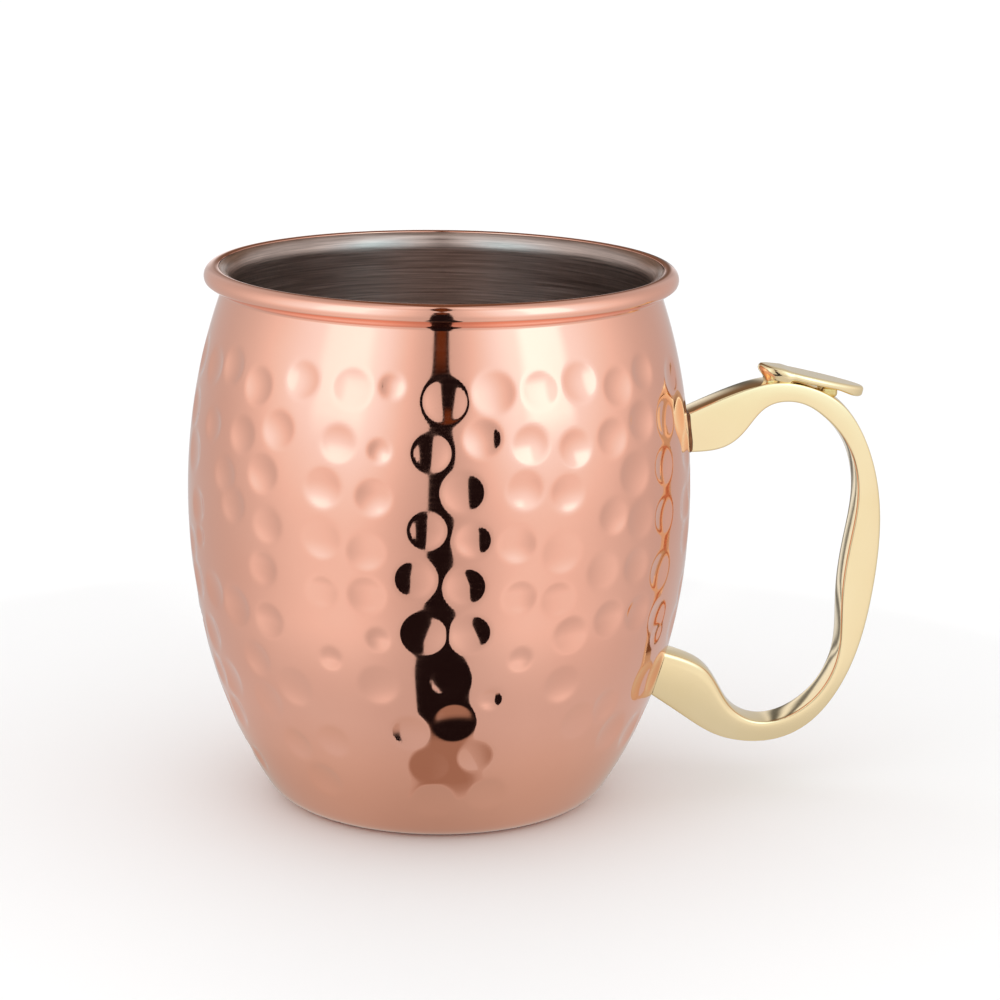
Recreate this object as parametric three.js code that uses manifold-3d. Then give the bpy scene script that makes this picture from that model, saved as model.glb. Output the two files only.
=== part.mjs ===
// A lined copper mug: a barrel-shaped copper jacket with a rolled rim, a stainless steel liner that
// forms the inner half of that rim, and a cast brass ear handle with a thumb rest, brazed to the
// wall at two feet.
// Units are millimetres. +Z is up, the mug stands on z = 0 with its axis on Z, and the handle
// points along +X.

import * as THREE from 'three';
import { NURBSCurve } from 'three/addons/curves/NURBSCurve.js';
import { mergeVertices } from 'three/addons/utils/BufferGeometryUtils.js';
import Module from 'manifold-3d';

// ---- driving dimensions -------------------------------------------------------------------

const MUG_HEIGHT = 100;
const BELLY_RADIUS = 46.5; // widest radius of the barrel
const BELLY_HEIGHT = 57.5; // height of the widest point
const BARREL_SEMI_AXIS = 75; // vertical semi-axis of the ellipse that the wall follows
const BASE_FLAT_RADIUS = 26;
const BASE_CORNER_HEIGHT = 3.5; // where the rounded base corner joins the barrel wall
const NECK_HEIGHT = 95.6; // where the wall turns out into the rolled rim

const BEAD_RADIUS = 1.9; // outer radius of the rolled rim's tube
const BEAD_CENTRE_RADIUS = 41.4; // from the mug's axis to the middle of that tube
const BEAD_CENTRE_HEIGHT = MUG_HEIGHT - BEAD_RADIUS;
const BEAD_START_ANGLE = -110; // degrees, underneath
const BEAD_END_ANGLE = 116; // degrees, just inside the top, where the liner takes over

const SHELL_THICKNESS = 0.5;
const LINER_THICKNESS = 0.4;
const SHEET_GAP = 0.2; // between the jacket and the liner
const FLARE_START_HEIGHT = 96.6; // where the liner leaves the barrel's line and bends out to the rim
const RIM_GAP = 0.45; // along the rim, between the liner's edge and the jacket's

const HANDLE_THICKNESS = 7;
const HANDLE_EDGE = 0.4; // chamfer round the two flat faces of the handle
const FIT_GAP = 0.3; // kept between pieces that touch
const BRAZE_THICKNESS = 0.4;

const REST_LENGTH = 20.4;
const REST_WIDTH = 8;
const REST_THICKNESS = 1.5;
const REST_EDGE = 0.5; // rounding of the plate's rim
const REST_TILT = 13; // degrees, down towards the outer end
const REST_CENTRE = new THREE.Vector3(69, 0, 78.7);
const NECK_WIDTH = 6.2;
const NECK_LEAN = 0.6; // how far the neck's face leans out towards the plate's tip
const OUTER_BRAZE_WIDTH = 3;

const ROUND_SEGMENTS = 56; // facets round the mug
const WALL_STEPS = 9;
const CORNER_STEPS = 3;
const BEAD_STEPS = 9;
const FLARE_STEPS = 6;
const OUTLINE_STEPS = 40; // facets along each side of the handle

// Control points (x, z) of the handle's outer side, from inside the wall at the lower foot, round
// the grip, to inside the wall at the upper foot.
const HANDLE_OUTER = [
  [35.5, 21.5], [44, 16], [50, 11.25], [55.75, 9], [64, 8.5], [72.25, 12.5], [79, 23.5], [82, 37.5],
  [83.25, 53], [80.75, 65.25], [75.75, 74.25], [69.25, 77.75], [61, 79.25], [52.5, 76], [42, 71],
];

// Control points (x, z) of the handle's inner side, the finger loop, from the upper foot to the
// lower one.
const HANDLE_INNER = [
  [41.5, 65.5], [49, 65], [54.75, 66.25], [58.25, 72], [61.25, 74.75], [66.5, 75], [71, 72.5],
  [76.75, 66.5], [78.75, 56.75], [76.75, 47], [75.5, 36.75], [76.5, 26], [72.5, 17.5], [65.5, 12.75],
  [59.5, 12.5], [54.5, 16], [51.75, 23.5], [46.75, 25.75], [40, 27.5],
];

// Stretches of x along the handle's crest where the thumb rest is joined to it.
const NECK_SPAN = { from: 60, to: 62.5 };
const OUTER_BRAZE_SPAN = { from: 71.6, to: 73.4 };

// ---- materials ----------------------------------------------------------------------------

const metal = (color, roughness) =>
  new THREE.MeshStandardMaterial({ color, roughness, metalness: 1 });

// ---- small geometry helpers ---------------------------------------------------------------

const radians = THREE.MathUtils.degToRad;

function smoothCurve(controlPoints, steps) {
  // clamped uniform cubic B-spline, as plain [x, z] points
  const degree = 3;
  const spans = controlPoints.length - degree;
  const ends = Array(degree).fill(0);
  const middle = Array.from({ length: spans + 1 }, (_, i) => i);
  const knots = [...ends, ...middle, ...ends.map(() => spans)];
  const vectors = controlPoints.map(([x, z]) => new THREE.Vector4(x, z, 0, 1));
  const curve = new NURBSCurve(degree, knots, vectors);
  return curve.getPoints(steps).map((point) => [point.x, point.y]);
}

function offsetLine(points, distance) {
  // moves an open line to its left by distance, mitred at each point
  return points.map((point, i) => {
    const before = new THREE.Vector2(...(points[i - 1] ?? point));
    const here = new THREE.Vector2(...point);
    const after = new THREE.Vector2(...(points[i + 1] ?? point));
    const along = [here.clone().sub(before), after.clone().sub(here)]
      .filter((step) => step.length() > 0)
      .map((step) => step.normalize());
    const normals = along.map((step) => new THREE.Vector2(-step.y, step.x));
    const mitre = normals[0].clone().add(normals.at(-1)).normalize();
    const moved = here.addScaledVector(mitre, distance / mitre.dot(normals[0]));
    return [moved.x, moved.y];
  });
}

function arcPoints(centre, radius, startDegrees, endDegrees, steps) {
  return Array.from({ length: steps + 1 }, (_, i) => {
    const angle = radians(startDegrees + ((endDegrees - startDegrees) * i) / steps);
    return [centre[0] + radius * Math.cos(angle), centre[1] + radius * Math.sin(angle)];
  });
}

function revolve(profile) {
  // turns a closed (radius, height) profile that starts and ends on the axis round Z
  const points = profile.map(([radius, height]) => new THREE.Vector2(Math.max(radius, 0), height));
  return new THREE.LatheGeometry(points, ROUND_SEGMENTS).rotateX(Math.PI / 2);
}

function extrudeAlongY(outline, width, edge = 0) {
  // a solid of the closed (x, z) outline, centred on y = 0, with its two rims chamfered by edge
  const shape = new THREE.Shape(outline.map(([x, z]) => new THREE.Vector2(x, z)));
  const settings = {
    depth: width - 2 * edge,
    bevelEnabled: edge > 0,
    bevelSize: edge,
    bevelOffset: -edge,
    bevelThickness: edge,
    bevelSegments: 1,
  };
  const geometry = new THREE.ExtrudeGeometry(shape, settings);
  return geometry.translate(0, 0, edge - width / 2).rotateX(Math.PI / 2);
}

// ---- cutting and joining ------------------------------------------------------------------

const manifold = await Module();
manifold.setup();

function toSolid(geometry) {
  const bare = geometry.clone();
  bare.deleteAttribute('normal');
  bare.deleteAttribute('uv');
  const merged = mergeVertices(bare, 1e-4);
  const corners = Array.from(merged.index.array);
  const triangles = [];
  for (let i = 0; i < corners.length; i += 3) {
    const [a, b, c] = corners.slice(i, i + 3);
    if (a !== b && b !== c && c !== a) triangles.push(a, b, c);
  }
  return new manifold.Manifold(new manifold.Mesh({
    numProp: 3,
    vertProperties: new Float32Array(merged.attributes.position.array),
    triVerts: new Uint32Array(triangles),
  }));
}

function toGeometry(solid) {
  const mesh = solid.getMesh();
  const geometry = new THREE.BufferGeometry();
  geometry.setAttribute('position', new THREE.BufferAttribute(mesh.vertProperties, 3));
  geometry.setIndex(new THREE.BufferAttribute(mesh.triVerts, 1));
  geometry.computeVertexNormals();
  return geometry;
}

// ---- the barrel and its two sheets --------------------------------------------------------

const barrelRadius = (height) =>
  BELLY_RADIUS * Math.sqrt(1 - ((height - BELLY_HEIGHT) / BARREL_SEMI_AXIS) ** 2);

function barrelLine(topHeight = NECK_HEIGHT) {
  // outer surface of the jacket, from the axis across the base and up the wall
  const cornerRadius = barrelRadius(BASE_CORNER_HEIGHT);
  const wallSlope = ((BELLY_RADIUS / BARREL_SEMI_AXIS) ** 2 * (BELLY_HEIGHT - BASE_CORNER_HEIGHT))
    / cornerRadius;
  const corner = new THREE.QuadraticBezierCurve(
    new THREE.Vector2(BASE_FLAT_RADIUS, 0),
    new THREE.Vector2(cornerRadius - wallSlope * BASE_CORNER_HEIGHT, 0),
    new THREE.Vector2(cornerRadius, BASE_CORNER_HEIGHT),
  );
  const wall = Array.from({ length: WALL_STEPS }, (_, i) => {
    const height = BASE_CORNER_HEIGHT
      + ((topHeight - BASE_CORNER_HEIGHT) * (i + 1)) / WALL_STEPS;
    return [barrelRadius(height), height];
  });
  return [[0, 0], ...corner.getPoints(CORNER_STEPS).map((p) => [p.x, p.y]), ...wall];
}

const BEAD_CENTRE = [BEAD_CENTRE_RADIUS, BEAD_CENTRE_HEIGHT];

function sheetProfile(outside, thickness) {
  const inside = offsetLine(outside, thickness);
  inside[0][0] = 0;
  return [...outside, ...inside.reverse()];
}

function tangentArc(line, end, steps) {
  // carries a line on in the direction of its last step, along an arc that bends right to end
  const start = new THREE.Vector2(...line.at(-1));
  const along = start.clone().sub(new THREE.Vector2(...line.at(-2))).normalize();
  const toCentre = new THREE.Vector2(along.y, -along.x);
  const chord = new THREE.Vector2(...end).sub(start);
  const radius = chord.lengthSq() / (2 * chord.dot(toCentre));
  const centre = start.clone().addScaledVector(toCentre, radius);
  const startAngle = 180 + THREE.MathUtils.radToDeg(toCentre.angle());
  const endAngle = THREE.MathUtils.radToDeg(
    new THREE.Vector2(...end).sub(centre).angle(),
  );
  return arcPoints(centre.toArray(), radius, startAngle, endAngle, steps).slice(1);
}

function copperShell() {
  const bead = arcPoints(BEAD_CENTRE, BEAD_RADIUS, BEAD_START_ANGLE, BEAD_END_ANGLE, BEAD_STEPS);
  const profile = sheetProfile([...barrelLine(), ...bead], SHELL_THICKNESS);
  return new THREE.Mesh(revolve(profile), metal(0xd98f6c, 0.12));
}

function steelLiner() {
  // the liner flares out above the neck and forms the inner half of the rim, up to the jacket's edge
  const offset = SHELL_THICKNESS + SHEET_GAP;
  const body = offsetLine(barrelLine(FLARE_START_HEIGHT), offset);
  body[0][0] = 0;
  const tipAngle = BEAD_END_ANGLE + THREE.MathUtils.radToDeg(RIM_GAP / BEAD_RADIUS);
  const tipRadius = BEAD_RADIUS - LINER_THICKNESS;
  const [tip] = arcPoints(BEAD_CENTRE, tipRadius, tipAngle, tipAngle, 1);
  const profile = sheetProfile([...body, ...tangentArc(body, tip, FLARE_STEPS)], LINER_THICKNESS);
  return new THREE.Mesh(revolve(profile), metal(0x8f8880, 0.35));
}

function wallSolid(clearance) {
  // the mug's outer body, grown by clearance, as a solid to cut the handle's pieces with
  const side = offsetLine(barrelLine().slice(1), -clearance);
  return toSolid(revolve([[0, side[0][1]], ...side, [0, side.at(-1)[1]]]));
}

// ---- the handle ---------------------------------------------------------------------------

const outerSide = smoothCurve(HANDLE_OUTER, OUTLINE_STEPS);
const innerSide = smoothCurve(HANDLE_INNER, OUTLINE_STEPS);

function handleBlank() {
  return toSolid(extrudeAlongY([...outerSide, ...innerSide], HANDLE_THICKNESS, HANDLE_EDGE));
}

const brazeInside = wallSolid(FIT_GAP);
const brazeOutside = wallSolid(FIT_GAP + BRAZE_THICKNESS);
const footEnd = wallSolid(2 * FIT_GAP + BRAZE_THICKNESS);

function handle() {
  const casting = handleBlank().subtract(footEnd);
  return new THREE.Mesh(toGeometry(casting), metal(0xe3c47e, 0.15));
}

function footBraze(fromHeight, toHeight) {
  // the film of braze between the wall and one foot, cut from the handle's own outline
  const band = toSolid(new THREE.BoxGeometry(
    BELLY_RADIUS, 2 * HANDLE_THICKNESS, toHeight - fromHeight,
  ).translate(BELLY_RADIUS, 0, (fromHeight + toHeight) / 2));
  const film = handleBlank().intersect(brazeOutside).subtract(brazeInside).intersect(band);
  return new THREE.Mesh(toGeometry(film), metal(0x9a6a3c, 0.4));
}

// ---- the thumb rest -----------------------------------------------------------------------

function crestLine(span, distance) {
  // the handle's outer side between two values of x, raised by distance; it runs from high to low x
  const crest = offsetLine(outerSide, -distance).filter(([, z]) => z > BELLY_HEIGHT);
  const heightAt = (x) => {
    const next = crest.findIndex((point) => point[0] <= x);
    const [a, b] = [crest[next - 1], crest[next]];
    return THREE.MathUtils.mapLinear(x, a[0], b[0], a[1], b[1]);
  };
  const inner = crest.filter(([x]) => x < span.to && x > span.from);
  return [[span.to, heightAt(span.to)], ...inner, [span.from, heightAt(span.from)]];
}

function restHeight(x, below) {
  // height of a plane parallel to the plate, the given distance below the plate's middle
  const tilt = radians(REST_TILT);
  return REST_CENTRE.z - (x - REST_CENTRE.x) * Math.tan(tilt) - below / Math.cos(tilt);
}

function restOval(inset) {
  const shape = new THREE.Shape();
  shape.absellipse(0, 0, REST_LENGTH / 2 - inset, REST_WIDTH / 2 - inset, 0, 2 * Math.PI);
  return shape;
}

function restPlate() {
  const plate = new THREE.ExtrudeGeometry(restOval(REST_EDGE), {
    depth: REST_THICKNESS - 2 * REST_EDGE,
    curveSegments: 16,
    bevelSize: REST_EDGE,
    bevelThickness: REST_EDGE,
    bevelSegments: 2,
  });
  plate.translate(0, 0, REST_EDGE - REST_THICKNESS / 2);
  return plate.rotateY(radians(REST_TILT)).translate(...REST_CENTRE.toArray());
}

function underOval(outline) {
  // the extruded (x, z) outline, trimmed to the plate's oval as seen along the plate's own normal
  const reach = REST_LENGTH / 2;
  const column = new THREE.ExtrudeGeometry(restOval(REST_EDGE), {
    depth: 2 * reach,
    curveSegments: 16,
    bevelEnabled: false,
  });
  column.translate(0, 0, -reach).rotateY(radians(REST_TILT)).translate(...REST_CENTRE.toArray());
  return toSolid(extrudeAlongY(outline, NECK_WIDTH)).intersect(toSolid(column));
}

function thumbRest() {
  const foot = crestLine(NECK_SPAN, 2 * FIT_GAP + BRAZE_THICKNESS);
  const tip = NECK_SPAN.from - NECK_LEAN;
  const neck = [...foot, [tip, restHeight(tip, 0)], [NECK_SPAN.to, restHeight(NECK_SPAN.to, 0)]];
  const casting = toSolid(restPlate()).add(underOval(neck));
  return new THREE.Mesh(toGeometry(casting), metal(0xe3c47e, 0.15));
}

function innerRestBraze() {
  const lower = crestLine(NECK_SPAN, FIT_GAP);
  const upper = crestLine(NECK_SPAN, FIT_GAP + BRAZE_THICKNESS);
  const film = underOval([...lower, ...upper.reverse()]);
  return new THREE.Mesh(toGeometry(film), metal(0xc79a4c, 0.3));
}

function outerRestBraze() {
  const { from, to } = OUTER_BRAZE_SPAN;
  const lower = crestLine(OUTER_BRAZE_SPAN, FIT_GAP);
  const below = REST_THICKNESS / 2 + FIT_GAP;
  const outline = [...lower, [from, restHeight(from, below)], [to, restHeight(to, below)]];
  return new THREE.Mesh(extrudeAlongY(outline, OUTER_BRAZE_WIDTH), metal(0xc79a4c, 0.3));
}

// ---- the assembly -------------------------------------------------------------------------

const mug = new THREE.Group();
const pieces = {
  copper_shell: copperShell(),
  steel_liner: steelLiner(),
  handle: handle(),
  upper_foot_braze: footBraze(BELLY_HEIGHT, NECK_HEIGHT),
  lower_foot_braze: footBraze(BASE_CORNER_HEIGHT, BELLY_HEIGHT),
  thumb_rest: thumbRest(),
  thumb_rest_inner_braze: innerRestBraze(),
  thumb_rest_outer_braze: outerRestBraze(),
};

for (const [name, mesh] of Object.entries(pieces)) {
  mesh.name = name;
  mug.add(mesh);
}

export default mug;
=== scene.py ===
"""A lined copper mug: a hammered copper jacket with a rolled rim, a brushed steel liner, a polished
brass handle with a thumb rest, and the braze that joins them. Shapes are worked out in millimetres
and handed to Blender in metres."""

import math

import bmesh
import bpy
import numpy as np
from mathutils import Matrix, Vector

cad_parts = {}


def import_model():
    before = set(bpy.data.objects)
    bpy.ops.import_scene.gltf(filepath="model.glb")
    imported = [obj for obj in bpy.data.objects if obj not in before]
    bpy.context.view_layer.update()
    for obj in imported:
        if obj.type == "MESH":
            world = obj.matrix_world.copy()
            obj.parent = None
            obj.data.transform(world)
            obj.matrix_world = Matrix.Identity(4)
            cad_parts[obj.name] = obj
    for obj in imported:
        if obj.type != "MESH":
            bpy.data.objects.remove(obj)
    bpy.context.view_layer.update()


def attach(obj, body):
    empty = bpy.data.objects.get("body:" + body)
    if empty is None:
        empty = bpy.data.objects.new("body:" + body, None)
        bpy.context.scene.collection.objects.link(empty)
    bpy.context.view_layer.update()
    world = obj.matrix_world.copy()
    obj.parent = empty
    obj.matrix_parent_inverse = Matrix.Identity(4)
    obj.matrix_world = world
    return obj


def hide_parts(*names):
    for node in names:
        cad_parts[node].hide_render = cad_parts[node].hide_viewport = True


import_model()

MM = 0.001

# ---- sizes, in millimetres and degrees ------------------------------------------------------

BELLY_RADIUS = 46.5
BELLY_HEIGHT = 57.5
BARREL_SEMI_AXIS = 75.0  # vertical semi-axis of the ellipse that the wall follows
BASE_FLAT_RADIUS = 26.0
BASE_CORNER_HEIGHT = 3.5
NECK_HEIGHT = 95.6
BEAD_RADIUS = 1.9
BEAD_CENTRE = (41.4, 98.1)
BEAD_ANGLES = (-26.0, 116.0)
LINER_TIP_ANGLE = 119.5  # on the rolled rim, where the liner meets the jacket's edge
FLARE_START_HEIGHT = 96.2
SHELL_THICKNESS = 0.5
LINER_THICKNESS = 0.4
LINER_BACK = 0.28  # the liner's wall is drawn this thick, clear of the jacket's back face
SHEET_GAP = 0.2
BACK_FACE_DEPTH = 0.72  # the jacket's smooth back face, behind the deepest hammer marks
JACKET_SEGMENTS = 560
LINER_SEGMENTS = 320

DENTS_PER_TURN = 33
DENT_RADIUS = 3.6
DENT_DEPTH = 0.53
DEEPEST_DENT = 0.64
DENT_EDGE = 0.042  # how softly a dent runs out into the wall
# degrees from the front and height of each hammer mark on the front, row by row
FRONT_DENTS = (
    (-57.8, 85.4), (-46.7, 83.2), (-33.5, 85.6), (-20.5, 85.2), (1.1, 83.6), (12.2, 84.9),
    (23.3, 85.0), (33.9, 85.7), (45.3, 83.8), (55.5, 85.4),
    (-63.0, 74.3), (-50.0, 74.3), (-38.6, 76.6), (-22.8, 75.7), (-1.9, 74.9), (9.4, 77.3),
    (20.2, 76.0), (31.1, 74.6), (41.7, 75.4), (52.2, 77.1), (63.1, 76.0),
    (-55.5, 66.5), (-42.2, 68.4), (-25.9, 67.7), (-14.4, 66.8), (5.0, 68.2), (18.7, 68.2),
    (28.6, 66.9), (48.3, 68.2), (60.2, 68.0),
    (-51.7, 61.6), (-40.2, 59.6), (-25.9, 58.8), (-15.9, 57.3), (-2.6, 61.6), (7.2, 59.9),
    (17.0, 58.8), (27.2, 56.6), (41.1, 61.6), (50.0, 59.9), (59.7, 59.1),
    (-41.7, 51.6), (-25.9, 49.3), (-15.8, 49.6), (-5.0, 52.9), (5.6, 51.6), (17.8, 49.3),
    (26.7, 48.2), (38.3, 52.1), (48.9, 51.6), (59.1, 48.9),
    (-52.0, 43.0), (-40.8, 42.1), (-3.1, 43.0), (7.0, 43.0), (30.6, 41.3), (41.1, 43.0),
    (51.0, 42.5), (61.0, 40.0),
    (-46.7, 33.8), (-35.6, 29.9), (-13.6, 32.7), (2.2, 34.3), (30.0, 31.6), (45.6, 25.4),
    (-45.6, 26.0), (-6.7, 23.8), (3.9, 26.0), (37.2, 23.8), (-38.9, 18.2), (-27.0, 20.5),
    (-1.7, 16.9), (9.8, 18.8), (52.0, 19.0), (-33.0, 11.5), (-0.9, 9.3), (14.4, 10.4),
)
SMALL_FRONT_DENTS = ((-11.1, 85.8), (-13.3, 74.9), (-13.3, 41.6), (12.3, 30.3), (-24.7, 37.1),
                     (18.7, 37.7), (62.5, 36.5))
SMALL_DENT_SHARE = 0.62  # of the full radius
DENT_SPACING = 7.0  # least distance of the other marks from those on the front
DENT_LEVELS = (84.5, 75.5, 67.7, 59.5, 51.0, 42.5, 35.0, 26.5, 18.0, 10.0)
FRONT_SPAN = 57.0  # degrees each side of the front that the marks above cover
FRONT_AZIMUTH = -94.0  # the side of the mug that faces the viewer, from +X

HANDLE_THICKNESS = 7.0
HANDLE_STATIONS = 420  # sections along the handle
# both sides of the ear, as (x, z) control points from the lower foot round to the upper one
HANDLE_OUTER = (
    (35.5, 21.5), (44, 16), (50, 11.25), (55.75, 9), (64, 8.5), (72.25, 12.5), (79, 23.5),
    (82, 37.5), (83.25, 53), (80.75, 65.25), (75.75, 74.25), (69.25, 77.75), (61, 79.25),
    (52.5, 76), (42, 71),
)
HANDLE_INNER = (
    (40, 27.5), (46.75, 25.75), (51.75, 23.5), (54.5, 16), (59.5, 12.5), (65.5, 12.75),
    (72.5, 17.5), (76.5, 26), (75.5, 36.75), (76.75, 47), (78.75, 56.75), (76.75, 66.5),
    (71, 72.5), (66.5, 75), (61.25, 74.75), (58.25, 72), (54.75, 66.25), (49, 65), (41.5, 65.5),
)
FOOT_DEPTH = 0.25  # how far a foot reaches into the jacket's sheet
EDGE_RADIUS = 0.45
SOFT_EDGE_RADIUS = 1.15  # along the upper edge of the lower foot
FACE_CROWN = 0.06  # how full the handle's two flat faces are
SIDE_CROWN = 0.12  # how full its outer and inner sides are
BRAZE_WIDTH = 0.36
BRAZE_STEP = 11  # stations from the wall at which a foot's direction is read

REST_LENGTH = 20.4
REST_WIDTH = 8.0
REST_THICKNESS = 1.45
REST_TILT = 13.0
REST_CENTRE = (69.0, 0.0, 78.7)
REST_TOE = 0.6  # how much thicker the plate gets underneath, at its outer end
NECK_WIDTH = 6.4
NECK_SPAN = (60.1, 64.4)
NECK_HALF_HEIGHT = 1.0
NECK_SLANT = 0.35  # how far the neck leans towards the mug, per millimetre of height
INNER_BRAZE_HALF = (1.9, 2.6, 0.24)
OUTER_BRAZE_SPAN = (70.8, 73.6)
OUTER_BRAZE_HALF = (1.5, 2.6, 1.0)

CAMERA_POSITION = (-0.03837, -0.54866, 0.19027)  # metres
CAMERA_HEADING = 5.171  # degrees from +Y towards +X
CAMERA_TILT = 13.730  # degrees down
CAMERA_ROLL = 0.8315
CAMERA_LENS = 109.65

FLOOR_REACH = 6000
FLOOR_SHADE = 0.88
SKY_STRENGTH = 1.18
CARD_LIFT = 0.4  # height of the card that lies round the mug
TENT_RADIUS = 170.0
TENT_CORNER = 10.0  # radius of the bend between the cards on the floor and the upright ones
TENT_EAVES = 420.0  # height where the upright cards start to arch over the mug
TENT_ROOF_RADIUS = 150.0
CARD_TONE = 0.60  # brightness of the cards away from the soft lights
LIGHT_AZIMUTH = 36.0  # the two soft lights, to either side of the front
SLOT_LIFT = 0.8
SLOT_INSET = 1.5  # how far the slot stands inside the upright cards
SLOT_CORNER = 9.0
# half the slot's width by height on the upright cards, and its share of that on the floor
SLOT_HEIGHTS = (20, 125, 141, 176, 192, 215, 280, 420, 570)
SLOT_HALF_WIDTHS = (15.5, 11.5, 10.3, 10, 2.5, 2.5, 14, 30, 10)
SLOT_DISTANCES = (38, 62, 90)
SLOT_SHARES = (0.62, 0.66, 1)

# ---- mesh helpers ---------------------------------------------------------------------------


def add_mesh(name, points, faces, material, smooth=True):
    """A mesh object from points in millimetres and lists of point numbers."""
    mesh = bpy.data.meshes.new(name)
    mesh.from_pydata([tuple(p) for p in np.asarray(points) * MM], [], faces)
    mesh.validate()
    mesh.update()
    mesh.polygons.foreach_set("use_smooth", [smooth] * len(mesh.polygons))
    mesh.materials.append(material)
    piece = bpy.data.objects.new(name, mesh)
    bpy.context.scene.collection.objects.link(piece)
    return piece


def face_out(piece):
    """Turns every face of a closed mesh outwards."""
    work = bmesh.new()
    work.from_mesh(piece.data)
    bmesh.ops.recalc_face_normals(work, faces=work.faces)
    if work.calc_volume(signed=True) < 0:
        bmesh.ops.reverse_faces(work, faces=work.faces)
    work.to_mesh(piece.data)
    work.free()
    return piece


def ring_faces(rings, count, closed=False):
    """Quads between rings of count points each, each ring closed on itself."""
    faces = []
    last = rings if closed else rings - 1
    for row in range(last):
        low = row * count
        high = ((row + 1) % rings) * count
        for k in range(count):
            n = (k + 1) % count
            faces.append((low + k, low + n, high + n, high + k))
    return faces


def fan_faces(first, count, centre):
    """Triangles from a ring of points to one centre point."""
    return [(first + k, first + (k + 1) % count, centre) for k in range(count)]


def smooth_step(value, low, high):
    t = np.clip((value - low) / (high - low), 0, 1)
    return t * t * (3 - 2 * t)


# ---- outlines -------------------------------------------------------------------------------


def barrel_radius(height):
    return BELLY_RADIUS * np.sqrt(1 - ((height - BELLY_HEIGHT) / BARREL_SEMI_AXIS) ** 2)


def barrel_lean(height):
    """How fast the wall's radius grows with height."""
    rise = (BELLY_RADIUS / BARREL_SEMI_AXIS) ** 2 * (BELLY_HEIGHT - height)
    return rise / barrel_radius(height)


def bezier(start, pull, end, steps):
    t = np.linspace(0, 1, steps + 1)[:, None]
    a, b, c = (np.array(p, float) for p in (start, pull, end))
    return (1 - t) ** 2 * a + 2 * t * (1 - t) * b + t * t * c


def arc(centre, radius, angles, steps):
    turn = np.radians(np.linspace(*angles, steps + 1))
    return np.array(centre) + radius * np.stack([np.cos(turn), np.sin(turn)], 1)


def arc_from(start, along, end):
    """Centre, radius and angles of the arc that leaves start along a direction and bends to end."""
    start, end = np.array(start), np.array(end)
    way = np.array(along) / np.linalg.norm(along)
    inward = np.array([way[1], -way[0]])
    chord = end - start
    radius = chord @ chord / (2 * chord @ inward)
    centre = start + radius * inward
    angles = [math.degrees(math.atan2(p[1] - centre[1], p[0] - centre[0])) % 360
              for p in (start, end)]
    return centre, radius, angles


def line_normals(line):
    """Unit normals to the right of an open line of (radius, height) points."""
    along = np.gradient(line, axis=0)
    along /= np.linalg.norm(along, axis=1)[:, None]
    return np.stack([along[:, 1], -along[:, 0]], 1)


def base_corner(steps):
    wall = float(barrel_radius(BASE_CORNER_HEIGHT))
    foot = wall - float(barrel_lean(BASE_CORNER_HEIGHT)) * BASE_CORNER_HEIGHT
    return bezier((BASE_FLAT_RADIUS, 0), (foot, 0), (wall, BASE_CORNER_HEIGHT), steps)


def revolve(line, segments, shift=None):
    """Rings of points about Z; shift moves each point along its normal, by azimuth and height."""
    turn = np.linspace(0, 2 * math.pi, segments, endpoint=False)
    radius, height = line[:, :1], line[:, 1:]
    radii = np.repeat(radius, segments, 1)
    heights = np.repeat(height, segments, 1)
    if shift is not None:
        normal = line_normals(line)
        move = shift(turn[None, :], height)
        radii = radii + move * normal[:, :1]
        heights = heights + move * normal[:, 1:]
    rings = np.stack([radii * np.cos(turn), radii * np.sin(turn), heights], 2)
    return rings.reshape(-1, 3)


# ---- the hammered jacket --------------------------------------------------------------------


def front_dents():
    marks = [(azimuth, height, 1.0) for azimuth, height in FRONT_DENTS]
    return marks + [(azimuth, height, SMALL_DENT_SHARE) for azimuth, height in SMALL_FRONT_DENTS]


def other_dents(rng, front):
    """Rows of marks round the rest of the mug, with a little scatter and a few gaps."""
    marks = []
    pitch = 360 / DENTS_PER_TURN
    for level in DENT_LEVELS:
        start = rng.uniform(0, pitch)
        for k in range(DENTS_PER_TURN):
            scatter = rng.normal(0, 1, 2)
            chance = rng.random()
            azimuth = (start + k * pitch + 1.2 * scatter[0] + 180) % 360 - 180
            height = level + scatter[1]
            if abs(azimuth) < FRONT_SPAN or chance < 0.07:
                continue
            near = min(math.hypot((azimuth - a) * 0.78, height - h) for a, h, _ in front)
            if near > DENT_SPACING:
                marks.append((azimuth, height, SMALL_DENT_SHARE if chance > 0.9 else 1.0))
    return marks


def dent_list():
    """Azimuth in radians, height, radius and depth of each hammer mark."""
    rng = np.random.default_rng(7)
    front = front_dents()
    dents = []
    for azimuth, height, share in front + other_dents(rng, front):
        grow, deepen = rng.normal(0, 1, 2)
        size = DENT_RADIUS * share * (1 + 0.05 * grow)
        depth = DENT_DEPTH * math.sqrt(share) * (1 + 0.08 * deepen)
        dents.append((math.radians(FRONT_AZIMUTH + azimuth), height, size,
                      min(depth, DEEPEST_DENT)))
    return dents


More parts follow.
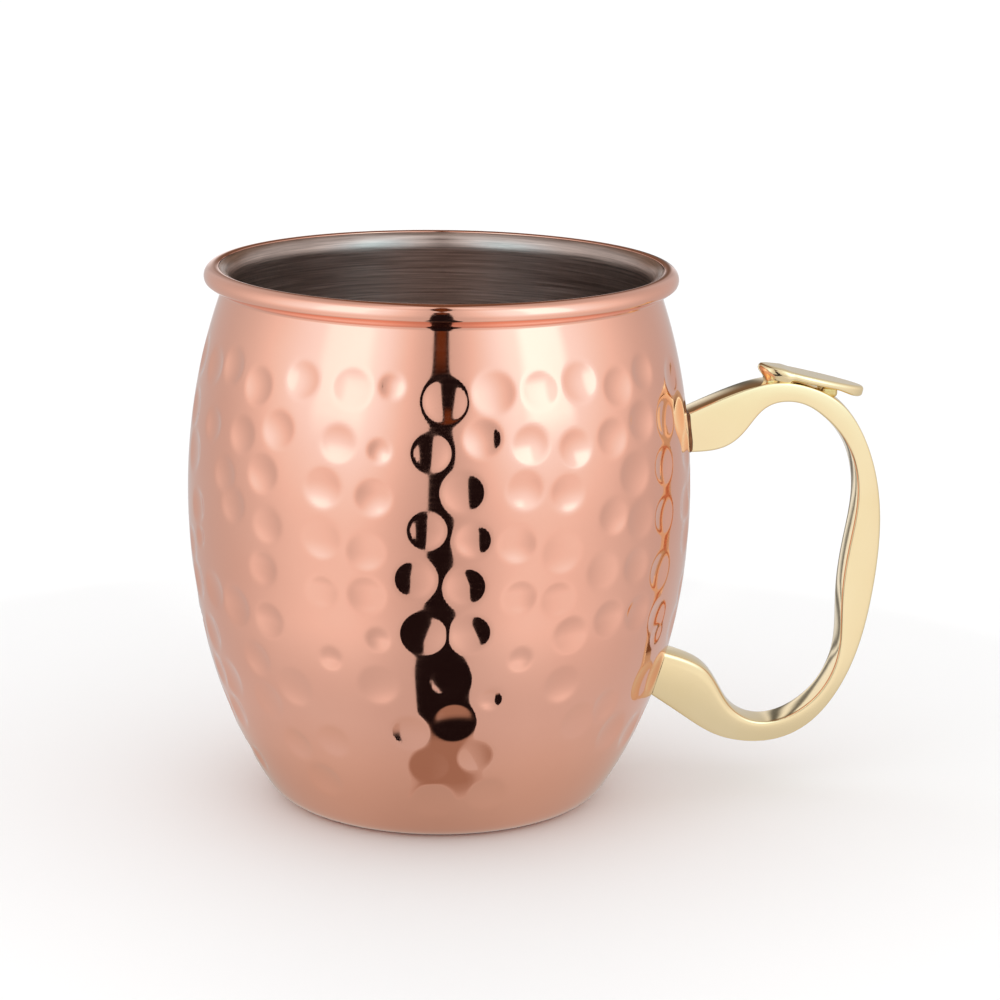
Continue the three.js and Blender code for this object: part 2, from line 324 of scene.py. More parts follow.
def hammer_marks(turn, height):
    """How far the wall's surface is moved outwards at each azimuth and height."""
    turn, height = np.broadcast_arrays(turn, height)
    hollow = np.zeros(turn.shape)
    radius = barrel_radius(np.clip(height, BASE_CORNER_HEIGHT, NECK_HEIGHT))
    for azimuth, level, size, depth in dent_list():
        rows = np.abs(height[:, 0] - level) < 1.7 * size
        across = (turn[rows] - azimuth + math.pi) % (2 * math.pi) - math.pi
        far = np.hypot(across * radius[rows], (height[rows] - level) * 1.03) / size
        dish = depth * (1 - far * far)
        soft = 0.5 * (dish + np.sqrt(dish * dish + DENT_EDGE * DENT_EDGE * 4 * depth))
        soft *= 1 - smooth_step(far, 1.1, 1.65)
        hollow[rows] = np.maximum(hollow[rows], soft)
    sway = 0.03 * np.sin(3 * turn + 0.07 * height) + 0.02 * np.sin(7 * turn - 0.11 * height)
    fade = smooth_step(height, 2, 12) * (1 - smooth_step(height, 86, 95))
    return sway * fade - hollow


def jacket_outside():
    """The outer line, from the middle of the base up the wall and over the rolled edge."""
    base = np.array([(0.6, 0), (8, 0), (16, 0), (22, 0), (24.5, 0)])
    heights = np.linspace(BASE_CORNER_HEIGHT, NECK_HEIGHT, 170)[1:]
    wall = np.stack([barrel_radius(heights), heights], 1)
    bead = arc(BEAD_CENTRE, BEAD_RADIUS, BEAD_ANGLES, 26)
    neck, lip = wall[-1], bead[0]
    underside = bezier(neck, (lip[0] - 0.62, lip[1] - 0.72), lip, 9)[1:-1]
    return np.concatenate([base, base_corner(8), wall, underside, bead])


def jacket_inside():
    """The hidden inner line, from the rolled edge down to the middle of the base."""
    inner_bead = arc(BEAD_CENTRE, BEAD_RADIUS - SHELL_THICKNESS, BEAD_ANGLES[::-1], 7)
    lip = arc(BEAD_CENTRE, BEAD_RADIUS, BEAD_ANGLES, 1)[0]
    fold = np.array([(lip[0] - 1.05, lip[1] + 0.02), (lip[0] - 2.3, lip[1] - 0.75)])
    heights = np.linspace(NECK_HEIGHT - 0.4, BASE_CORNER_HEIGHT, 9)
    wall = np.stack([barrel_radius(heights) - BACK_FACE_DEPTH, heights], 1)
    base = np.array([(BASE_FLAT_RADIUS, SHELL_THICKNESS), (0.6, SHELL_THICKNESS)])
    return np.concatenate([inner_bead, fold, wall, base])


def turned_piece(name, rings, segments, low, high, material):
    """A closed mesh from rings about Z, ending on the axis at the low and the high height."""
    rows = len(rings) // segments
    faces = ring_faces(rows, segments)
    faces += fan_faces(0, segments, len(rings))
    faces += fan_faces((rows - 1) * segments, segments, len(rings) + 1)
    points = np.concatenate([rings, [(0, 0, low), (0, 0, high)]])
    return face_out(add_mesh(name, points, faces, material))


def jacket(material):
    outside = revolve(jacket_outside(), JACKET_SEGMENTS, hammer_marks)
    inside = revolve(jacket_inside(), JACKET_SEGMENTS)
    rings = np.concatenate([outside, inside])
    return turned_piece("jacket", rings, JACKET_SEGMENTS, 0, SHELL_THICKNESS, material)


# ---- the steel liner ------------------------------------------------------------------------


def liner_flare(offset):
    """Centre, radius and angles of the arc that bends the wall out to the rim."""
    foot = (float(barrel_radius(FLARE_START_HEIGHT)) - offset, FLARE_START_HEIGHT)
    tip = arc(BEAD_CENTRE, BEAD_RADIUS - 0.02, (LINER_TIP_ANGLE, LINER_TIP_ANGLE), 1)[0]
    return arc_from(foot, (float(barrel_lean(FLARE_START_HEIGHT)), 1), tip)


def liner_inside(offset, floor_height):
    """The line that shows, from the rim down the wall to the middle of the floor."""
    flare = arc(*liner_flare(offset), 16)
    corner_height = BASE_CORNER_HEIGHT + 2
    heights = np.linspace(FLARE_START_HEIGHT, corner_height, 130)[1:-1]
    wall = np.stack([barrel_radius(heights) - offset, heights], 1)
    corner_top = (float(barrel_radius(corner_height)) - offset, corner_height)
    corner = bezier(corner_top, (corner_top[0] - 1.8, floor_height), (24.0, floor_height), 12)
    floor_line = np.array([(r, floor_height) for r in (21, 16, 11, 6, 2, 0.5)])
    return np.concatenate([flare[::-1], wall, corner, floor_line])


def liner_outside(offset, below):
    """The hidden line, from the middle of the floor up to the rim."""
    centre, bend, angles = liner_flare(offset)
    heights = np.linspace(BASE_CORNER_HEIGHT + 1, FLARE_START_HEIGHT, 12)
    wall = np.stack([barrel_radius(heights) - offset + LINER_BACK, heights], 1)
    flare = arc(centre, bend - LINER_BACK, angles, 10)
    return np.concatenate([[(0.5, below), (24.0, below)], wall, flare[1:]])


def liner_marks(turn, height):
    """The faint trace of the hammer marks in the steel behind them."""
    ripple = np.sin(23 * turn + 0.4 * height) * np.sin(17 * turn - 0.9 * height)
    return 0.012 * ripple * smooth_step(height, 4, 12) * (1 - smooth_step(height, 88, 94))


def liner(material):
    """The inner cup. Above the neck it flares out and forms the inner half of the rim."""
    offset = SHELL_THICKNESS + SHEET_GAP + LINER_THICKNESS
    below = SHELL_THICKNESS + SHEET_GAP
    outside = revolve(liner_outside(offset, below), LINER_SEGMENTS)
    inside = revolve(liner_inside(offset, offset), LINER_SEGMENTS, liner_marks)
    rings = np.concatenate([outside, inside])
    return turned_piece("liner", rings, LINER_SEGMENTS, below, offset, material)


# ---- the handle -----------------------------------------------------------------------------


def clamped_spline(control, count):
    """Points along a clamped uniform cubic B-spline, evenly spaced in length."""
    control = np.array(control, float)
    spans = len(control) - 3
    knots = np.concatenate([np.zeros(3), np.arange(spans + 1), np.full(3, spans)])
    t = np.linspace(0, spans, 4000)
    t[-1] -= 1e-9
    basis = ((knots[None, :-1] <= t[:, None]) & (t[:, None] < knots[None, 1:])).astype(float)
    for degree in (1, 2, 3):
        columns = basis.shape[1] - 1
        grown = np.zeros((len(t), columns))
        for i in range(columns):
            before = knots[i + degree] - knots[i]
            after = knots[i + degree + 1] - knots[i + 1]
            if before > 0:
                grown[:, i] += (t - knots[i]) / before * basis[:, i]
            if after > 0:
                grown[:, i] += (knots[i + degree + 1] - t) / after * basis[:, i + 1]
        basis = grown
    return even_steps(basis @ control, count)


def even_steps(line, count):
    """The same line with count points, evenly spaced in length."""
    reach = np.concatenate([[0], np.cumsum(np.linalg.norm(np.diff(line, axis=0), axis=1))])
    at = np.linspace(0, reach[-1], count)
    return np.stack([np.interp(at, reach, line[:, k]) for k in range(line.shape[1])], 1)


def outside_wall(line):
    """The stretch of a side of the handle that is outside the mug's wall."""
    clear = line[:, 0] > barrel_radius(line[:, 1]) - FOOT_DEPTH
    keep = np.flatnonzero(clear)
    return line[keep[0]:keep[-1] + 1]


def handle_sides(stations):
    """Matching points along the outer and the inner side, from the lower foot to the upper one."""
    sides = [outside_wall(clamped_spline(c, 3000)) for c in (HANDLE_OUTER, HANDLE_INNER)]
    marks = []
    for line in sides:
        half = len(line) // 2
        marks.append([0, int(np.argmin(line[:half, 1])), int(np.argmax(line[:, 0])),
                      half + int(np.argmax(line[half:, 1])), len(line) - 1])
    lengths = np.diff(marks[0]).astype(float)
    share = np.round(stations * lengths / lengths.sum()).astype(int)
    share[-1] += stations - share.sum()
    matched = []
    for line, mark in zip(sides, marks):
        parts = [even_steps(line[a:b + 1], n + 1)[:-1] for a, b, n in zip(mark, mark[1:], share)]
        matched.append(np.concatenate(parts + [line[-1:]]))
    return matched


def handle(material):
    outer, inner = handle_sides(HANDLE_STATIONS)
    out_ways, in_ways = line_normals(outer), -line_normals(inner)
    count = len(outer)
    soft = 1 - smooth_step(np.linspace(0, 1, count), 0.1, 0.2)
    inner_edge = EDGE_RADIUS + (SOFT_EDGE_RADIUS - EDGE_RADIUS) * soft
    rings = np.array([
        handle_section(outer[k], out_ways[k], EDGE_RADIUS, inner[k], in_ways[k], inner_edge[k])
        for k in range(count)
    ])
    size = rings.shape[1]
    first_end = count * size
    faces = ring_faces(count, size)
    faces += fan_faces(0, size, first_end)
    faces += fan_faces((count - 1) * size, size, first_end + 1)
    points = np.concatenate([rings.reshape(-1, 3), [rings[0].mean(0), rings[-1].mean(0)]])
    return face_out(add_mesh("ear_handle", points, faces, material))


def handle_section(out, out_way, out_edge, inn, in_way, in_edge):
    """A closed ring of points round the handle: a bar with rounded edges and slightly full faces."""
    half = HANDLE_THICKNESS / 2
    corner = np.radians(np.linspace(0, 90, 6))
    across = np.linspace(0, 1, 9)[1:-1]

    def edge(point, way, radius, side, turn):
        reach = radius * np.sin(turn)
        inset = radius * (1 - np.cos(turn))
        flat = point[None, :] - way[None, :] * (radius - reach)[:, None]
        return np.stack([flat[:, 0], side * (half - inset), flat[:, 1]], 1)

    def face(start, end, side):
        flat = start[None, :] + across[:, None] * (end - start)[None, :]
        swell = FACE_CROWN * 4 * across * (1 - across)
        return np.stack([flat[:, 0], side * (half + swell), flat[:, 1]], 1)

    def side_wall(point, way, radius, side):
        depth = np.linspace(1, -1, 7)[1:-1] * (half - radius) * side
        swell = SIDE_CROWN * (1 - (depth / half) ** 2)
        flat = point[None, :] + way[None, :] * swell[:, None]
        return np.stack([flat[:, 0], depth, flat[:, 1]], 1)

    out_flat = out - out_way * out_edge
    in_flat = inn - in_way * in_edge
    return np.concatenate([
        edge(out, out_way, out_edge, 1, corner[::-1]),
        face(out_flat, in_flat, 1),
        edge(inn, in_way, in_edge, 1, corner),
        side_wall(inn, in_way, in_edge, 1),
        edge(inn, in_way, in_edge, -1, corner[::-1]),
        face(in_flat, out_flat, -1),
        edge(out, out_way, out_edge, -1, corner),
        side_wall(out, out_way, out_edge, -1),
    ])


# ---- braze round the feet -------------------------------------------------------------------


def foot_rings(upper):
    """The handle's section at the wall, and one a little way along the handle."""
    outer, inner = handle_sides(HANDLE_STATIONS)
    out_ways, in_ways = line_normals(outer), -line_normals(inner)
    in_edge = EDGE_RADIUS if upper else SOFT_EDGE_RADIUS
    stations = (-1, -1 - BRAZE_STEP) if upper else (0, BRAZE_STEP)
    return [handle_section(outer[at], out_ways[at], EDGE_RADIUS, inner[at], in_ways[at], in_edge)
            for at in stations]


def braze_section(point, away, spread, middle, width):
    """One section of the fillet: its hollow face from wall to foot, and its buried back."""
    climb = (away - point) / np.linalg.norm(away - point)
    radial = np.array([point[0], point[1], 0])
    radial /= np.linalg.norm(radial)
    along = np.cross(spread, radial)
    along /= max(np.linalg.norm(along), 1e-9)
    if np.dot(along, point - middle) < 0:
        along = -along
    on_wall = point + along * width + radial * 0.02
    on_foot = point + climb * (width + FOOT_DEPTH)
    waist = point + climb * FOOT_DEPTH + along * 0.12 * width
    face = bezier(on_wall, waist, on_foot, 5)
    return np.concatenate([face, [point - along * 0.25, on_wall - radial * 0.35]])


def foot_braze(name, upper, material):
    """A thin fillet in the corner between the mug's wall and one foot of the handle."""
    seam, away = foot_rings(upper)
    middle = seam.mean(0)
    count = len(seam)
    rng = np.random.default_rng(3 if upper else 4)
    bumps = np.interp(np.arange(count), np.linspace(0, count, 15), rng.normal(0, 0.05, 15))
    sections = np.array([
        braze_section(seam[k], away[k], seam[(k + 1) % count] - seam[k - 1], middle,
                      BRAZE_WIDTH + bumps[k])
        for k in range(count)
    ])
    faces = ring_faces(count, sections.shape[1], closed=True)
    return face_out(add_mesh(name, sections.reshape(-1, 3), faces, material))


# ---- the thumb rest -------------------------------------------------------------------------


def crest_height(x):
    line = clamped_spline(HANDLE_OUTER, 3000)
    line = line[line[:, 1] > BELLY_HEIGHT]
    order = np.argsort(line[:, 0])
    return np.interp(x, line[order, 0], line[order, 1])


def rounded_box(q, half, radius):
    q = np.abs(q) - (np.array(half) - radius)
    outside = np.linalg.norm(np.maximum(q, 0), axis=1)
    return outside + np.minimum(q.max(1), 0) - radius


def soft_union(a, b, blend):
    h = np.clip(0.5 + 0.5 * (b - a) / blend, 0, 1)
    return b + (a - b) * h - blend * h * (1 - h)


def soft_cut(a, b, blend):
    """The part common to both, with a soft edge."""
    return -soft_union(-a, -b, blend)


def plate_axes(p):
    """Places along the plate and up from it, and the distance outside its oval outline."""
    tilt = math.radians(REST_TILT)
    d = p - np.array(REST_CENTRE)
    along = d[:, 0] * math.cos(tilt) - d[:, 2] * math.sin(tilt)
    up = d[:, 0] * math.sin(tilt) + d[:, 2] * math.cos(tilt)
    rim = REST_THICKNESS * 0.48
    a, b = REST_LENGTH / 2 - rim, REST_WIDTH / 2 - rim
    plan = np.stack([along, d[:, 1]], 1)
    k1 = np.linalg.norm(plan / (a, b), axis=1) + 1e-9
    k2 = np.linalg.norm(plan / (a * a, b * b), axis=1) + 1e-9
    return along, up, k1 * (k1 - 1) / k2


def plate_field(p):
    """Distance to the oval plate: flat on top, with a full round rim."""
    along, up, beside = plate_axes(p)
    toe = REST_TOE * smooth_step(along, 4.5, 9)
    rim = REST_THICKNESS * 0.48
    above = np.abs(up + toe / 2) - (REST_THICKNESS / 2 + toe / 2 - rim)
    out = np.hypot(np.maximum(beside, 0), np.maximum(above, 0))
    return out + np.minimum(np.maximum(beside, above), 0) - rim


def rest_field(p):
    middle = sum(NECK_SPAN) / 2
    foot = float(crest_height(middle))
    q = p - np.array([middle, 0, foot + 0.7])
    q[:, 0] += NECK_SLANT * q[:, 2]
    half = ((NECK_SPAN[1] - NECK_SPAN[0]) / 2, NECK_WIDTH / 2, NECK_HALF_HEIGHT)
    neck = rounded_box(q, half, 0.5)
    neck = soft_cut(neck, plate_axes(p)[2] - 0.35, 0.5)
    return soft_union(plate_field(p), neck, 1.6)


def settle(points, field, rounds=8):
    """Moves points onto the surface where the field is nought."""
    step = 1e-3
    for _ in range(rounds):
        value = field(points)
        slope = np.stack([
            (field(points + step * axis) - field(points - step * axis)) / (2 * step)
            for axis in np.eye(3)
        ], 1)
        points = points - (value / np.maximum((slope ** 2).sum(1), 1e-6))[:, None] * slope
    return points


def field_piece(name, field, centre, size, tilt, voxel, material):
    """A closed mesh of the surface where the field is nought, grown from a tilted ellipsoid."""
    work = bmesh.new()
    bmesh.ops.create_icosphere(work, subdivisions=6, radius=1)
    ball = np.array([v.co for v in work.verts]) * np.array(size) / 2
    faces = [[v.index for v in f.verts] for f in work.faces]
    work.free()
    turn = np.array(Matrix.Rotation(math.radians(tilt), 3, "Y"))
    piece = add_mesh(name, settle(ball @ turn.T + np.array(centre), field, 30), faces, material)
    for _ in range(2):
        even_mesh(piece, field, voxel)
    return piece


def even_mesh(piece, field, voxel):
    """Remeshes the piece with even faces and puts its points back on the field's surface."""
    remesh = piece.modifiers.new("even", "REMESH")
    remesh.mode = "VOXEL"
    remesh.voxel_size = voxel * MM
    depsgraph = bpy.context.evaluated_depsgraph_get()
    even = bpy.data.meshes.new_from_object(piece.evaluated_get(depsgraph))
    piece.modifiers.clear()
    piece.data = even
    co = np.zeros(len(even.vertices) * 3)
    even.vertices.foreach_get("co", co)
    settled = settle(co.reshape(-1, 3) / MM, field, 6) * MM
    even.vertices.foreach_set("co", settled.ravel())
    even.polygons.foreach_set("use_smooth", [True] * len(even.polygons))
    even.update()


def thumb_rest(material):
    centre, size = (68.9, 0, 78.4), (22.4, 10.5, 6)
    return field_piece("rest_plate", rest_field, centre, size, REST_TILT, 0.16, material)


def rest_braze(name, centre, half, radius, material):
    def field(p):
        return rounded_box(p - np.array(centre), half, radius)

    size = tuple(2.6 * h for h in half)
    return field_piece(name, field, centre, size, 0, 0.08, material)


# ---- materials ------------------------------------------------------------------------------


class Nodes:
    """A material's node tree with short ways to add nodes and join them."""

    def __init__(self, name):
        self.material = bpy.data.materials.new(name)
        self.material.use_nodes = True
        self.tree = self.material.node_tree
        self.tree.nodes.clear()
        self.output = self.add("ShaderNodeOutputMaterial")

    def add(self, kind, **settings):
        node = self.tree.nodes.new(kind)
        for key, value in settings.items():
            setattr(node, key, value)
        return node

    def join(self, start, end):
        self.tree.links.new(start, end)

    def principled(self, **values):
        shader = self.add("ShaderNodeBsdfPrincipled")
        for name, value in values.items():
            shader.inputs[name.replace("_", " ")].default_value = value
        self.join(shader.outputs[0], self.output.inputs[0])
        return shader

    def position(self, scale=(1, 1, 1)):
        coordinates = self.add("ShaderNodeTexCoord")
        stretch = self.add("ShaderNodeMapping")
        stretch.inputs["Scale"].default_value = scale
        self.join(coordinates.outputs["Object"], stretch.inputs["Vector"])
        return stretch.outputs[0]

    def round_lines(self, around, along):
        """Coordinates for fine lines that run round the Z axis, with no seam."""
        coordinates = self.add("ShaderNodeTexCoord")
        split = self.add("ShaderNodeSeparateXYZ")
        self.join(coordinates.outputs["Object"], split.inputs[0])
        flat = self.add("ShaderNodeCombineXYZ")
        self.join(split.outputs["X"], flat.inputs["X"])
        self.join(split.outputs["Y"], flat.inputs["Y"])
        unit = self.add("ShaderNodeVectorMath", operation="NORMALIZE")
        self.join(flat.outputs[0], unit.inputs[0])
        scaled = self.add("ShaderNodeVectorMath", operation="SCALE")
        scaled.inputs["Scale"].default_value = around
        self.join(unit.outputs[0], scaled.inputs[0])
        height = self.add("ShaderNodeMath", operation="MULTIPLY")
        height.inputs[1].default_value = along
        self.join(split.outputs["Z"], height.inputs[0])
        up = self.add("ShaderNodeCombineXYZ")
        self.join(height.outputs[0], up.inputs["Z"])
        total = self.add("ShaderNodeVectorMath", operation="ADD")
        self.join(scaled.outputs[0], total.inputs[0])
        self.join(up.outputs[0], total.inputs[1])
        return total.outputs[0]

    def noise(self, vector, scale, detail=3.0, roughness=0.5):
        node = self.add("ShaderNodeTexNoise")
        node.inputs["Scale"].default_value = scale
        node.inputs["Detail"].default_value = detail
        node.inputs["Roughness"].default_value = roughness
        self.join(vector, node.inputs["Vector"])
        return node.outputs["Fac"]

    def spread(self, value, low, high, start=0.3, end=0.7):
        """Maps a texture's middle range to low..high."""
        node = self.add("ShaderNodeMapRange")
        limits = {"From Min": start, "From Max": end, "To Min": low, "To Max": high}
        for name, number in limits.items():
            node.inputs[name].default_value = number
        self.join(value, node.inputs["Value"])
        return node.outputs[0]

    def ramp(self, value, *stops):
        node = self.add("ShaderNodeValToRGB")
        ramp = node.color_ramp
        while len(ramp.elements) < len(stops):
            ramp.elements.new(0.5)
        for element, (place, colour) in zip(ramp.elements, stops):
            element.position = place
            element.color = (*colour, 1)
        self.join(value, node.inputs[0])
        return node.outputs[0]

    def bump(self, value, shader, strength, distance):
        node = self.add("ShaderNodeBump")
        node.inputs["Strength"].default_value = strength
        node.inputs["Distance"].default_value = distance
        self.join(value, node.inputs["Height"])
        self.join(node.outputs[0], shader.inputs["Normal"])


def copper_material():
    nodes = Nodes("polished_copper")
    shader = nodes.principled(Metallic=1.0)
    cloud = nodes.noise(nodes.position(), 42, 4)
    colour = nodes.ramp(cloud, (0.3, (0.90, 0.455, 0.335)), (0.7, (0.93, 0.49, 0.365)))
    nodes.join(colour, shader.inputs["Base Color"])
    lines = nodes.noise(nodes.round_lines(5, 2600), 1, 3)
    rough = nodes.spread(lines, 0.045, 0.085)
    nodes.join(rough, shader.inputs["Roughness"])
    nodes.bump(lines, shader, 0.05, 0.00002)
    return nodes.material


def steel_material():
    nodes = Nodes("brushed_steel")
    # the brush marks run round the cup, so reflections spread up and down it
    shader = nodes.principled(Metallic=1.0, Anisotropic=0.85, Anisotropic_Rotation=0.25)
    tangent = nodes.add("ShaderNodeTangent", direction_type="RADIAL", axis="Z")
    nodes.join(tangent.outputs[0], shader.inputs["Tangent"])
    lines = nodes.noise(nodes.round_lines(2.2, 2400), 1, 4, 0.65)
    # brush streaks, plus painted shade: the steel is kept dark and warm for the cup's dim inside
    colour = nodes.ramp(lines, (0.32, (0.39, 0.30, 0.265)), (0.68, (0.82, 0.65, 0.58)))
    nodes.join(colour, shader.inputs["Base Color"])
    nodes.join(nodes.spread(lines, 0.29, 0.38), shader.inputs["Roughness"])
    nodes.bump(lines, shader, 0.2, 0.00003)
    return nodes.material


def brass_material():
    nodes = Nodes("polished_brass")
    shader = nodes.principled(Metallic=1.0)
    cloud = nodes.noise(nodes.position(), 60, 4)
    colour = nodes.ramp(cloud, (0.3, (0.93, 0.735, 0.43)), (0.7, (0.96, 0.775, 0.48)))
    nodes.join(colour, shader.inputs["Base Color"])
    grain = nodes.noise(nodes.position((1, 6, 1)), 700, 4)
    nodes.join(nodes.spread(grain, 0.07, 0.13), shader.inputs["Roughness"])
    nodes.bump(nodes.noise(nodes.position(), 120, 3), shader, 0.06, 0.0003)
    return nodes.material


def braze_material(name, dark, light):
    nodes = Nodes(name)
    shader = nodes.principled(Metallic=1.0)
    cloud = nodes.noise(nodes.position(), 500, 5)
    nodes.join(nodes.ramp(cloud, (0.35, dark), (0.65, light)), shader.inputs["Base Color"])
    nodes.join(nodes.spread(cloud, 0.25, 0.5), shader.inputs["Roughness"])
    nodes.bump(cloud, shader, 0.4, 0.0001)
    return nodes.material


# ---- studio ---------------------------------------------------------------------------------

def camera():
    data = bpy.data.cameras.new("camera")
    data.lens = CAMERA_LENS
    data.sensor_width = 36
    data.clip_start = 0.01
    heading, tilt, roll = (math.radians(a) for a in (CAMERA_HEADING, CAMERA_TILT, CAMERA_ROLL))
    ahead = Vector((math.sin(heading) * math.cos(tilt), math.cos(heading) * math.cos(tilt),
                    -math.sin(tilt)))
    right = ahead.cross(Vector((0, 0, 1))).normalized()
    up = right.cross(ahead)
    turned_right = math.cos(roll) * right + math.sin(roll) * up
    turned_up = math.cos(roll) * up - math.sin(roll) * right
    turn = Matrix((turned_right, turned_up, -ahead)).transposed().to_4x4()
    eye = bpy.data.objects.new("camera", data)
    eye.matrix_world = Matrix.Translation(CAMERA_POSITION) @ turn
    bpy.context.scene.collection.objects.link(eye)
    bpy.context.scene.camera = eye


def floor():
    nodes = Nodes("pale_floor")
    shader = nodes.principled(Roughness=0.6)
    shader.inputs["Base Color"].default_value = (FLOOR_SHADE, FLOOR_SHADE, FLOOR_SHADE, 1)
    points = [(x * FLOOR_REACH, y * FLOOR_REACH, 0) for x, y in ((-1, -1), (1, -1), (1, 1), (-1, 1))]
    piece = add_mesh("floor", points, [(0, 1, 2, 3)], nodes.material, smooth=False)


def glow_material():
    nodes = Nodes("glow")
    light = nodes.add("ShaderNodeEmission")
    tone = nodes.add("ShaderNodeAttribute", attribute_name="glow")
    nodes.join(tone.outputs["Color"], light.inputs["Color"])
    nodes.join(light.outputs[0], nodes.output.inputs[0])
    return nodes.material


def only_reflected(piece):
    """The piece shows only in polished metal. No camera sees it, and it shades nothing."""
    piece.visible_camera = False
    piece.visible_diffuse = False
    piece.visible_shadow = False
    piece.visible_transmission = False


def panel(azimuth, low, high):
    return smooth_step(azimuth, low - 3, low + 3) * (1 - smooth_step(azimuth, high - 3, high + 3))


def lobe(side):
    """The soft lights fade quickly towards the front and slowly towards the back."""
    return np.exp(-(((side - LIGHT_AZIMUTH) / np.where(side < LIGHT_AZIMUTH, 22, 46)) ** 2))


def back_tone(tone, azimuth):
    """The cards behind the mug are brighter, with two dark gaps between them."""
    tone = tone + 0.35 * smooth_step(np.abs(azimuth), 150, 160)
    gaps = panel(azimuth, 158, 166) + panel(azimuth, 173, 180)
    return tone * (1 - 0.85 * gaps)


def wall_tone(azimuth, height):
    """Brightness of the upright cards; azimuth is in degrees from the front."""
    side = np.abs(azimuth)
    gain = 0.38 + 0.62 * smooth_step(height, 25, 125) - 0.5 * smooth_step(height, 230, 320)
    lamps = 0.2 * panel(azimuth, -54, -31) + 0.45 * panel(azimuth, 36, 57)
    tone = CARD_TONE + lobe(side) * gain + lamps * smooth_step(height, 82, 98)
    tone -= 0.8 * lamps * smooth_step(height, 230, 320)
    return back_tone(tone, azimuth)


def painted_floor_light_and_shade(azimuth, radius):
    """Brightness of the card that lies round the mug: painted floor light and painted contact shadow.
    """
    # painted contact shadow: the card gets darker towards the mug's foot
    base = np.interp(radius, (27, 37, 48, 62, 100, 160), (0.44, 0.52, 0.60, 0.64, 0.61, CARD_TONE))
    # painted pools of light from the two soft lights, stronger further from the mug
    tone = base + lobe(np.abs(azimuth)) * (0.07 + 0.31 * smooth_step(radius, 62, 130))
    far = smooth_step(radius, 60, 75)
    return tone + far * (back_tone(tone, azimuth) - tone)


def card_colour(tone, azimuth, height, radius):
    """Bright parts a little blue; painted copper bounce by the mug; dark brown high up behind."""
    red = np.where(tone < 0.95, tone, 0.95 + 0.35 * (tone - 0.95))
    blue = tone * (1 + 0.12 * smooth_step(tone, 0.9, 1.4))
    colour = np.stack([red, tone, blue], 1)
    # painted bounce light: the floor card near the mug takes a copper tint
    painted_copper_bounce = (1 - smooth_step(radius, 34, 66))[:, None]
    colour *= 1 - painted_copper_bounce * np.array([0, 0.07, 0.15])
    dark = smooth_step(np.abs(azimuth), 142, 166) * smooth_step(height, 106, 134)
    return colour + dark[:, None] * (np.array([0.19, 0.12, 0.08]) - colour)


def tent_line():
    """The cards' outline: out over the floor, up, and arching over the mug."""
    bend = CARD_LIFT + TENT_CORNER
    lying = [(r, CARD_LIFT) for r in np.linspace(27, TENT_RADIUS - TENT_CORNER, 40)]
    corner = arc((TENT_RADIUS - TENT_CORNER, bend), TENT_CORNER, (-90, 0), 6)[1:]
    wall = [(TENT_RADIUS, height) for height in np.linspace(14, TENT_EAVES, 44)]
    roof = arc((TENT_RADIUS - TENT_ROOF_RADIUS, TENT_EAVES), TENT_ROOF_RADIUS, (0, 90), 14)[1:]
    return np.concatenate([lying, corner, wall, roof, [(1.0, TENT_EAVES + TENT_ROOF_RADIUS)]])


def tent():
    """White cards in a ring round the mug, seen only as reflections, with a dark slot at the front."""
    line = tent_line()
    segments = 360
    points = revolve(line, segments)
    turn = np.degrees(np.arctan2(points[:, 1], points[:, 0])) - FRONT_AZIMUTH
    azimuth = (turn + 180) % 360 - 180
    radius = np.hypot(points[:, 0], points[:, 1])
    lying = points[:, 2] < CARD_LIFT + TENT_CORNER
    tone = np.where(lying, painted_floor_light_and_shade(azimuth, radius), wall_tone(azimuth, points[:, 2]))
    piece = add_mesh("white_cards", points, ring_faces(len(line), segments), glow_material())
    set_tone(piece, card_colour(tone, azimuth, points[:, 2], radius))
    only_reflected(piece)


def set_tone(piece, colours):
    """Stores the colour that each point of a glowing piece gives off."""
    layer = piece.data.color_attributes.new("glow", "FLOAT_COLOR", "POINT")
    colours = np.concatenate([colours, np.ones((len(colours), 1))], 1).astype(np.float32)
    layer.data.foreach_set("color", colours.ravel())


def slot_tone(radius, height, side):
    """Colour inside the dark gap: dim brown near the mug, black further out, brown high up."""
    black = np.array([0.011, 0.007, 0.008])
    edge = float(smooth_step(max(abs(side), (46 - radius) / 8), 0.55, 1.0))
    brown = np.array([0.37, 0.27, 0.21]) * (1 - edge) + np.array([0.58, 0.53, 0.49]) * edge
    near = 1 - float(smooth_step(radius, 57, 62))
    middle = float(smooth_step(1 - abs(side), 0.2, 0.5))
    high = float(smooth_step(height, 125, 150)) * middle
    return black + near * (brown - black) + high * np.array([0.12, 0.035, 0.004])


def slot_route():
    """The slot's middle line, as (distance, height): out over the floor, up and overhead."""
    reach = TENT_RADIUS - SLOT_INSET
    roof = TENT_ROOF_RADIUS - 2
    return np.concatenate([
        [(r, SLOT_LIFT) for r in np.linspace(38, reach - SLOT_CORNER, 54)],
        arc((reach - SLOT_CORNER, SLOT_LIFT + SLOT_CORNER), SLOT_CORNER, (-90, 0), 6)[1:],
        [(reach, h) for h in np.linspace(20, TENT_EAVES - 2, 80)],
        arc((reach - roof, TENT_EAVES), roof, (0, 80), 14),
    ])


def strip_faces(rows, columns):
    """Quads between rows of points, each with the same number of columns."""
    lows = [row * columns + k for row in range(rows - 1) for k in range(columns - 1)]
    return [(low, low + 1, low + columns + 1, low + columns) for low in lows]


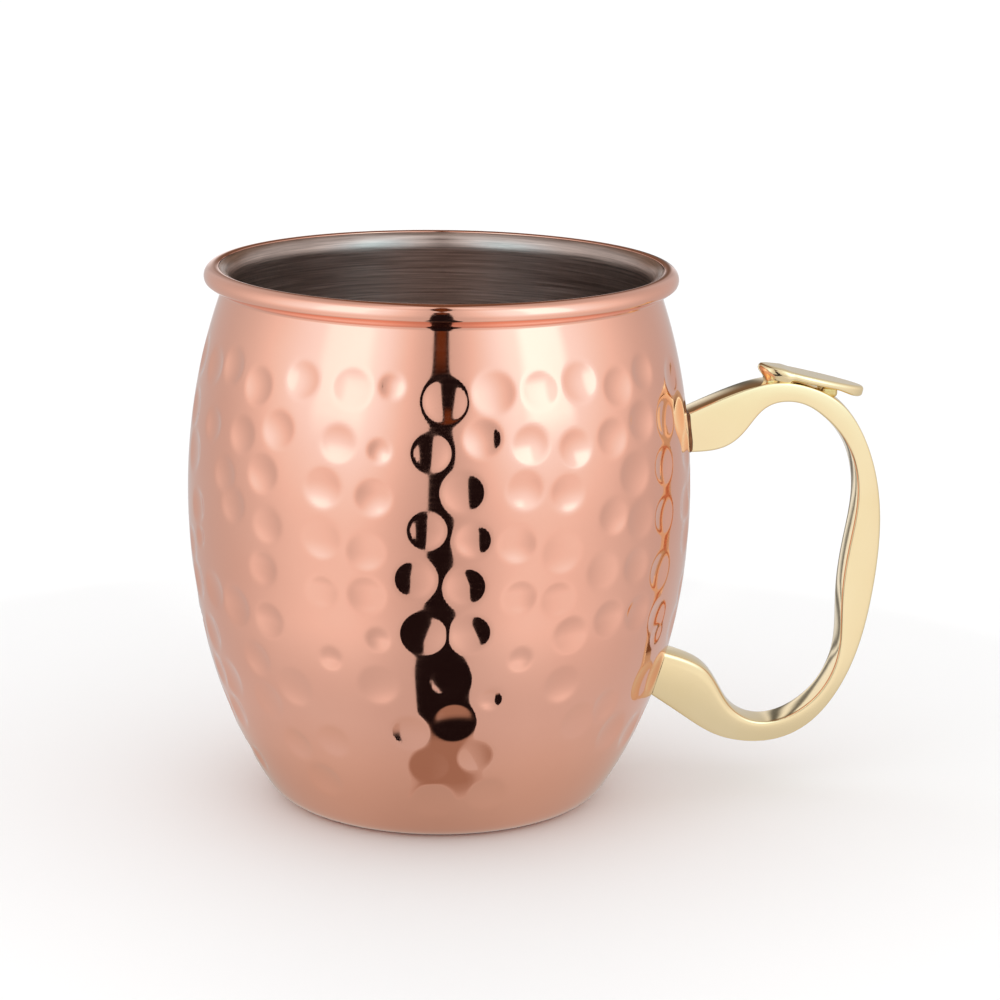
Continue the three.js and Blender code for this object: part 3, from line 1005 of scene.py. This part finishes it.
def slot():
    """The dark gap between the cards, from the floor near the mug up to above the camera."""
    route = slot_route()
    front = math.radians(FRONT_AZIMUTH)
    ahead = np.array([math.cos(front), math.sin(front), 0])
    across = np.array([-ahead[1], ahead[0], 0])
    lateral = np.linspace(-1, 1, 13)
    points = []
    tones = []
    for radius, height in route:
        half = np.interp(height, SLOT_HEIGHTS, SLOT_HALF_WIDTHS)
        half *= np.interp(radius, SLOT_DISTANCES, SLOT_SHARES)
        shift = np.interp(radius, (60, TENT_RADIUS - SLOT_INSET), (3, 0.5))
        for side in lateral:
            points.append(ahead * radius + across * (side * half + shift) + (0, 0, height))
            tones.append(slot_tone(radius, height, side))
    faces = strip_faces(len(route), len(lateral))
    piece = add_mesh("dark_slot", points, faces, glow_material())
    set_tone(piece, np.array(tones))
    only_reflected(piece)


def world():
    scene = bpy.context.scene
    sky = bpy.data.worlds.new("studio")
    sky.use_nodes = True
    background = sky.node_tree.nodes["Background"]
    background.inputs["Color"].default_value = (1, 1, 1, 1)
    background.inputs["Strength"].default_value = SKY_STRENGTH
    scene.world = sky
    scene.view_settings.view_transform = "Standard"
    scene.view_settings.look = "None"


# ---- the scene ------------------------------------------------------------------------------


def place(piece, slot_name, *nodes):
    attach(piece, "root")
    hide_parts(*nodes)


def build_mug():
    copper = copper_material()
    brass = brass_material()
    seam = braze_material("dark_braze", (0.16, 0.06, 0.03), (0.34, 0.15, 0.07))
    gold = braze_material("gold_braze", (0.70, 0.50, 0.20), (0.85, 0.66, 0.32))
    place(jacket(copper), "copper", "copper_shell")
    place(liner(steel_material()), "liner_steel", "steel_liner")
    place(handle(brass), "brass", "handle")
    place(thumb_rest(brass), "brass", "thumb_rest")
    place(foot_braze("upper_seam", True, seam), "braze", "upper_foot_braze")
    place(foot_braze("lower_seam", False, seam), "braze", "lower_foot_braze")
    middle = sum(NECK_SPAN) / 2
    inner = rest_braze("rest_seam", (middle, 0, float(crest_height(middle)) - 0.02),
                       INNER_BRAZE_HALF, 0.22, gold)
    place(inner, "rest_braze", "thumb_rest_inner_braze")
    middle = sum(OUTER_BRAZE_SPAN) / 2
    outer = rest_braze("rest_fillet", (middle, 0, float(crest_height(middle)) + 0.45),
                       OUTER_BRAZE_HALF, 0.7, gold)
    place(outer, "rest_braze", "thumb_rest_outer_braze")


build_mug()
floor()
tent()
slot()
world()
camera()
